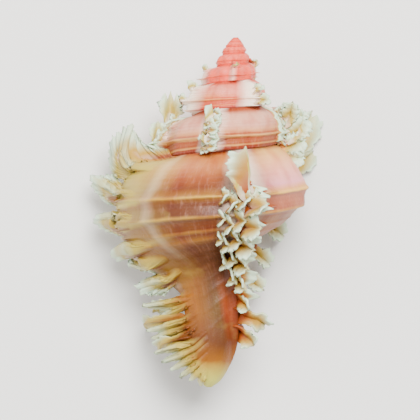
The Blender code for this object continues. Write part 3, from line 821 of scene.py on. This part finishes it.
def buildFlange(target, look):  # a frilled edge, one sheet that starts on the last whorl and runs out in arms
    edge = look["edge"]
    corners = [place(row[0], row[1], row[2]) / mm for row in edge]
    marks = distances(corners)
    total = marks[-1]
    line = [tuple((mark, corner[axis]) for mark, corner in zip(marks, corners)) for axis in range(3)]
    starts = [tuple((mark, row[item]) for mark, row in zip(marks, edge)) for item in range(3, 7)]
    columns, rows = round(total / look["columnWidth"]), look["rows"]
    sheet, spots = gridMesh(columns, rows)
    tipMark = sheet.verts.layers.float["tip"]
    runs = []
    for column in range(columns + 1):
        d = total * column / columns
        leaveGrowth, leaveShare, startGrowth, startShare = [between(d, knots) for knots in starts]
        leaveShare = smooth(d, starts[1])
        end = Vector([between(d, knots) for knots in line])
        side = Vector([between(d + 0.4, knots) - between(d - 0.4, knots) for knots in line]).normalized()
        points = []
        for part, lift in ((0.0, -0.8), (0.3, -0.3), (0.6, -0.22), (0.85, -0.15), (1.0, 0.0)):
            growth = startGrowth + (leaveGrowth - startGrowth) * part
            height = heightAt(growth, startShare + (leaveShare - startShare) * part ** 0.8)
            points.append(place(wallRadius(growth, height) + lift, azimuthAt(growth, height), height) / mm)
        free = (end - points[-1]).length
        armed = between(free, ((0.8, 0), (4, 1)))
        outward = (end - points[-1]).normalized()
        away = outward.cross(side).cross(side)
        away = -away.normalized() if away.dot(outward) < 0.0 else away.normalized()
        cut = 0.6 * saw(d / look["toothEvery"] + 0.3 * noise.noise(Vector((d * 0.2, 0.0, 0.0))))
        cut += 0.4 * saw(d / look["toothEvery"] * 2.7)
        end += (0.5 * away + 0.5 * outward) * look["tooth"] * (cut - 0.35) * (0.35 + 0.65 * armed)
        tall = look["lean"] * between(d, ((marks[3], 0), (marks[5], 1), (marks[7], 0.75), (marks[9], 0)))
        middle = points[-1].lerp(end, 0.5) + Vector((-1.3, -1.2, 0.3)) * tall
        shares, path = curveThrough(points + [middle, end])
        runs.append((path, shares[4], free, armed))  # the fifth point is where it leaves the whorl
    for vert, u, v in spots:
        path, onWhorl, free, armed = runs[round(u * columns)]
        vert.co = path(v) * mm
    sheet.normal_update()
    ridges = [marks[arm] for arm in look["arms"]]
    for vert, u, v in spots:
        path, onWhorl, free, armed = runs[round(u * columns)]
        d = total * u
        out = (v - onWhorl) / (1.0 - onWhorl)  # 0 where it leaves the whorl, 1 at the edge
        fade = between(out, ((-0.6, 0), (0.3, 1)))
        low = min(ridges, key=lambda mark: abs(mark - d))
        narrow = between(out, ((-1.5, 2.4), (0, 1.5), (1, 0.9)))
        off = (d - low) / (look["ridgeHalf"] * narrow)
        lift = look["ridge"] * math.exp(-off * off) * between(out, ((-1.2, 0), (-0.1, 1), (1, 0.25)))
        lift *= between(v, ((0, 0), (look["rise"], 1)))
        folds = d / look["pleatEvery"] + noise.noise(Vector((d * 0.5, 0.0, 9.0)))
        lift += look["pleat"] * fade * armed * math.cos(2.0 * math.pi * folds)
        lift += look["uneven"] * fade * armed * noise.noise(Vector((d * 0.45, v * 2.0, 4.0)))
        facing = 1.0 if vert.normal.x * 0.3 + vert.normal.z > 0.0 else -1.0
        vert.co += vert.normal * facing * lift * mm
        inward = (1.0 - out) * max(free, 1.0) / max(free, 2.5)
        pale = between(inward, ((0, 1), (0.28, 0.75), (0.75, 0.12), (1.1, 0)))
        pale *= look["pale"] * (0.3 + 0.7 * armed) * (1.0 - 0.3 * math.exp(-off * off) * (1.0 - max(out, 0.0)))
        # painted shade: the pale colour is dimmed in the valleys of the pleats
        pale *= 1.0 - 0.12 * armed * (0.5 - 0.5 * math.cos(2.0 * math.pi * d / look["pleatEvery"]))
        strand = between(v, ((look["rise"] - 0.35, 0), (look["rise"] + 0.15, 1)))
        # painted shade: a brown band beside each ridge of the lip, laid on as negative tip marks
        shadeUnderRidge = math.exp(-((d - low) / (look["ridgeHalf"] * narrow) - 1.9) ** 2 * 1.6)
        shadeUnderRidge *= between(v, ((0.1, 0), (0.4, 1))) * between(out, ((0.3, 1), (0.9, 0)))
        strand *= 0.54 * math.exp(-1.5 * off * off)
        vert[tipMark] = max(pale, strand) - shadeUnderRidge * (1.0 - min(pale * 1.2, 1.0))
    thicken(sheet, look["thickness"] * mm)

    def hollowAndWebShade(face):  # the underside, and painted shade on the web beside the first arm
        if face.normal.z < -0.2:
            return 0.5, 1.3
        centre = face.calc_center_median() / mm
        # painted shade: the web beside the first arm gets the orange red hollow colour
        webShade = between(coil["apexForward"] - centre.y, ((28, 0.45), (30, 0)))
        return webShade * between(centre.x, ((-22, 0), (-17, 1))), 0.8

    markHollow(sheet, hollowAndWebShade)
    addSheet(target, sheet)


lipUnderFronds = (
    (34, 33, 26.2, -130.5, 3.4, 5.4),
    (41, 42, 24.8, -128, 3.2, 4.6),
    (48, 50, 20.6, -127, 2.8, 3.8),
    (58.8, 62, 16.6, -126, 2, 3.2, {"skew": 0.2}),
    (62.5, 66, 21.1, -143.5, 2.4, 3.6, {"skew": 0.2}),
    (66.4, 70, 13.4, -118, 2, 3.2, {"skew": 0.2}),
)
sheet = bmesh.new()
buildFlange(sheet, flange)
frondRow(sheet, 0.0, lipUnderFronds, start=3.0, webWidth=3.0)
finishPiece("lipFronds", sheet, shellMaterial)
sheet = bmesh.new()
buildFlange(sheet, canalComb)
finishPiece("canalFingers", sheet, shellMaterial)

middleFronds = (
    (34, 23.8, 25.2, 8, 5.4, 6.8, {"curl": 0.6, "palmAt": 0.3, "roll": -50, "tipWidth": 0.3, "digits": 2,
                                       "notch": 0.16, "hollow": 1.0, "inner": 0.2}),
    (37.4, 35.6, 25.2, 23, 4.8, 5.6),
    (41.4, 41.2, 24.4, 21, 4.4, 5.4),
    (45, 46.2, 21.2, 21, 4, 5),
    (48.6, 50.6, 17.4, 22, 3.6, 4.6),
    (52.8, 55.2, 14, 26, 3, 4),
    (57, 59.6, 11.8, 40, 3, 3.6),
    (60.6, 62.4, 12, 78, 3, 4.2),
    (64.8, 67.2, 10, 64, 3, 4),
)
middleLayers = (  # growth, mm down, part of the reach, turn and size, from the crest forwards
    (122, 0, 1, 0, 1), (117.5, 1.3, 0.66, -8, 1), (112.8, 0.2, 0.44, -14, 0.86),
    (108.6, 1.4, 0.30, -19, 0.66),
)
sheet = bmesh.new()
for step, (varix, lower, tall, turned, size) in enumerate(middleLayers):
    rows = []
    for root, tip, reach, azimuth, neck, palm, *more in middleFronds[1:7 - step] if step else middleFronds:
        reach = wallRadius(varix, root - lower) * (1.0 - tall) + reach * tall + 0.8 * (step > 0)
        rows.append((root - lower, tip - lower, reach, azimuth + turned, neck * size, palm * size, *more))
    frondRow(sheet, varix, rows, white=1.05, hollow=0.7, bend=0.6, start=6.0 if step else 26.0,
             webWidth=4.4 * size, curl=0.5, inner=0.45)
frillStrip(sheet, 122.0, 1.5, (31.4, 58.0), 3.8, [(root - 0.6, 2.4, 1.0) for root, *others in middleFronds[:7]],
           seed=0.3, hollow=1.0, back=1.1, low=0.2)
finishPiece("middleRidge", sheet, shellMaterial)

rightFronds = (
    (26.5, 14.2, 23.8, 129, 4.4, 7.6, {"digits": 4.0}),
    (28, 23.2, 25.9, 131, 3.6, 5),
    (33.6, 33.2, 22.2, 131, 3.2, 4.2),
    (39.8, 42.8, 18.6, 129, 3, 4.6),
    (46, 49.4, 15.2, 129, 2.6, 4),
    (51.8, 55, 13, 124, 2.6, 4),
)
sheet = bmesh.new()
frondRow(sheet, 240.0, rightFronds, start=20.0, webWidth=4.0, white=1.2, hollow=0.3)
for number, (offset, tall) in enumerate(((1.0, 2.0), (4.0, 1.6), (7.5, 1.0))):
    frillStrip(sheet, 240.0, offset, (27.0, 60.0), tall, [(root, 2.0, 1.0) for root, *others in rightFronds],
               back=0.8, seed=0.29 * number)
finishPiece("rightRidge", sheet, shellMaterial)

whiteLook = {"white": 1.5, "hollow": 0.15, "flute": 0.5, "upTeeth": 5.0, "teeth": 5.0, "fine": 0.5, "tooth": 0.32}
spireFronds = (
    (372, (21, 12.6, 13.6, -100, 3, 5.4, {"notch": 0.36, "tipWidth": 0.6, "upTooth": 0.5, "white": 1.1})),
    (372, (25, 19.4, 16, -102, 2.6, 3.8, {"tipWidth": 0.3, "white": 1.2})),
    (452, (18.6, 15.2, 13, -20, 2.8, 2.6, {"curl": 0.5, "white": 1.3})),
    (452, (22.6, 22.3, 15.4, -24, 2.8, 3, {"curl": 0.5, "white": 1.3})),
    (556, (18, 13, 14, 74, 3.4, 4, dict(whiteLook, white=1.2))),
    (556, (19.6, 14.6, 15.6, 82, 3, 4, whiteLook)),
    (556, (21.6, 16.2, 17, 84, 3.6, 5, whiteLook)),
    (556, (23.4, 21, 17.2, 86, 3.2, 4.4, whiteLook)),
    (556, (25.2, 25.2, 17.4, 88, 3, 4, whiteLook)),
    (660, (15, 12.4, 12, 190, 2.4, 3.2, {})),
    (756, (12.2, 10.4, 8.6, -72, 2.2, 2.8, {"white": 1.4})),
    (756, (14.8, 14, 10.3, -72, 2.2, 2.6, {"white": 1.4})),
    (864, (11.6, 10.2, 9.6, 44, 2.2, 2.8, {"white": 1.4, "hollow": 0.2})),
    (864, (13.6, 13, 10.8, 52, 2.2, 2.8, {"white": 1.4, "hollow": 0.2})),
    (972, (8.8, 7.6, 7.4, 145, 1.7, 2.1, {})),
    (1080, (7.8, 6.8, 5.9, -100, 1.5, 1.8, {"white": 1.2})),
    (1188, (6.4, 5.6, 5.4, 6, 1.3, 1.6, {"white": 0.6})),
    (1296, (5.4, 4.7, 5, 100, 1.2, 1.4, {})),
)
spireRidges = ((372.0, 3, 1), (452.0, 5, 1), (556.0, 5, 6), (660.0, 4, 1))  # varix, fronds in a layer, frills
sheet = bmesh.new()
for varix, row in spireFronds:
    frondRow(sheet, varix, (row,), spine=0.45, flute=0.2, start=18.0, webWidth=3.0 if varix < 700.0 else 1.8)
for number, (varix, count, strips) in enumerate(spireRidges):
    low, high = heightAt(varix, 1.03), heightAt(varix, coil["growthPerWhorl"] - 0.01)
    span = high - low
    size = scaleAt(varix) / coil["lipScale"]
    for layer in range(3):
        at = varix - 4.5 * layer * (1.0 + 0.12 * number)
        rows = []
        for part in range(count):
            root = low + 0.06 * span * layer + span * (0.12 + 0.80 * part / (count - 1)) - 0.05 * layer
            rows.append((root, root - 0.5 * size, wallRadius(at, root) + (2.5 - 0.6 * layer - 0.1 * number) * size,
                         azimuthAt(at, root) + 9.0, 0.20 * span, 0.27 * span))
        frondRow(sheet, at, rows, white=1.3, hollow=0.6, inner=0.3, spine=0.3, flute=0.2, start=8.0, curl=0.5,
                 webWidth=0.2 * span, ridgeWidth=0.8 * size)
    for step in range(strips):
        frillStrip(sheet, varix, step * (3.2 + 0.4 * number), (low, high), size * (3.4 if strips == 1 else 4.2),
                   [(low + share * span, 0.16 * span, 1.0 - 0.1 * step) for share in (0.2, 0.46, 0.70, 0.92)],
                   back=0.9, wave=1.3 * size ** 0.5, seed=0.41 * step + 0.23 * number, hollow=0.5, white=1.4)
finishPiece("spireFronds", sheet, shellMaterial)

# floor, light and camera
stage = {
    "floor": "#EDEBE6", "world": 0.70,
    "imageScale": 0.22,  # mm to a pixel of the photo
    "cameraHeight": 1.0, "middleHeight": 0.017,  # m
    "shift": (1.54, 0.155),  # mm
    "roll": 4.5,  # degrees
    "lights": (("keyLight", (0.10, 0.34, 0.78), 0.40, 19.5), ("fillLight", (-0.5, -0.1, 0.6), 0.6, 3.0)),
}


def makeStage():
    plate = bmesh.new()
    bmesh.ops.create_grid(plate, x_segments=1, y_segments=1, size=1.5)
    mesh = toMesh("paleFloor", plate)
    floor = addObject("paleFloor", mesh)
    material = bpy.data.materials.new("mattePaper")
    material.use_nodes = True
    shader = material.node_tree.nodes["Principled BSDF"]
    shader.inputs["Base Color"].default_value = hexColour(stage["floor"])
    shader.inputs["Roughness"].default_value = 0.9
    mesh.materials.append(material)
    world = bpy.data.worlds.new("studio")
    world.use_nodes = True
    world.node_tree.nodes["Background"].inputs[0].default_value = (1.0, 1.0, 1.0, 1.0)
    world.node_tree.nodes["Background"].inputs[1].default_value = stage["world"]
    bpy.context.scene.world = world
    middle = Vector((0, 0, stage["middleHeight"]))
    for name, spot, size, power in stage["lights"]:
        light = bpy.data.lights.new(name, "AREA")
        light.size = size
        light.energy = power
        lamp = addObject(name, light)
        lamp.location = spot
        lamp.rotation_euler = (middle - Vector(spot)).to_track_quat("-Z", "Y").to_euler()
    view = bpy.data.cameras.new("cameraAbove")
    pictureWidth = 420 * stage["imageScale"] * mm
    view.lens = view.sensor_width * (stage["cameraHeight"] - stage["middleHeight"]) / pictureWidth
    camera = addObject("cameraAbove", view)
    camera.location = (stage["shift"][0] * mm, stage["shift"][1] * mm, stage["cameraHeight"])
    camera.rotation_euler = (0.0, 0.0, math.radians(stage["roll"]))
    bpy.context.scene.camera = camera


makeStage()
print("stage done")
